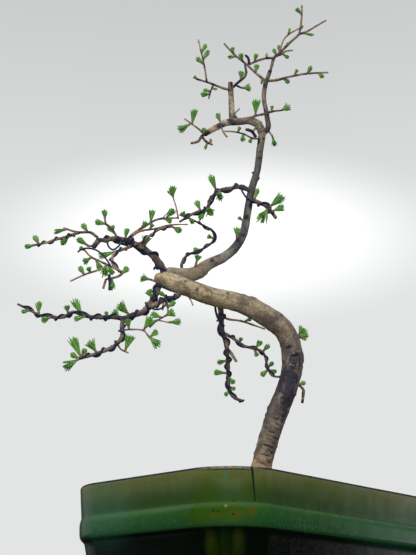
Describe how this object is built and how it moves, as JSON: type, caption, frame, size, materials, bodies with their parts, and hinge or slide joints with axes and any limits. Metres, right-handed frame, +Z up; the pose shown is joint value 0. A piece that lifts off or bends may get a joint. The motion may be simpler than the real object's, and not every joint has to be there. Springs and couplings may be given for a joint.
{
  "type": "larch bonsai in a pot",
  "caption": "Deciduous conifer trained as a small tree on a twisted trunk with wired branches and bursting needle tufts, standing in soil in a deep cut-corner glazed pot.",
  "frame": {"origin": "bottom centre of the bounding box, on the ground under the pot", "axes": "+Z up, from the ground to the tree's top; X along the pot's long side; Y along its short side"},
  "size_m": [0.3796, 0.2824, 0.6954],
  "materials": {
    "glaze": "deep green glaze, worn to brown at the edges",
    "soil": "granular, with moss",
    "bark": "grey-tan furrowed bark",
    "foliage": "brown twigs with bright green needle tufts",
    "training_wire": "dark anodised",
    "drain_mesh": "black moulded"
  },
  "bodies": {
    "root": {"drain_screen_1": "drain_mesh", "drain_screen_2": "drain_mesh", "pot": "glaze", "shoot_apex": "foliage", "shoot_bend": "foliage", "shoot_elbow": "foliage", "shoot_fork": "foliage", "shoot_heel": "foliage", "shoot_knuckle": "foliage", "shoot_middle": "foliage", "shoot_snag": "foliage", "soil": "soil", "spray_apex_end": "foliage", "spray_apex_low": "foliage", "spray_crown_left": "foliage", "spray_crown_low_left": "foliage", "spray_crown_low_right": "foliage", "spray_crown_right": "foliage", "spray_crown_tip": "foliage", "spray_crown_under": "foliage", "spray_down_arm": "foliage", "spray_droop": "foliage", "spray_droop_right": "foliage", "spray_front": "foliage", "spray_hub_lower": "foliage", "spray_hub_upper": "foliage", "spray_hub_wired": "foliage", "spray_left": "foliage", "spray_left_arm": "foliage", "spray_left_tip": "foliage", "spray_loop": "foliage", "spray_low_left": "foliage", "spray_middle_left": "foliage", "spray_middle_right": "foliage", "spray_snag_left": "foliage", "spray_snag_right": "foliage", "trunk": "bark", "wire_down_arm": "training_wire", "wire_droop": "training_wire", "wire_droop_right": "training_wire", "wire_front": "training_wire", "wire_hub": "training_wire", "wire_left": "training_wire", "wire_left_arm": "training_wire", "wire_left_tip": "training_wire", "wire_loop": "training_wire", "wire_low_left": "training_wire", "wire_low_root": "training_wire", "wire_middle_left": "training_wire", "wire_middle_right": "training_wire"}
  },
  "joints": []
}
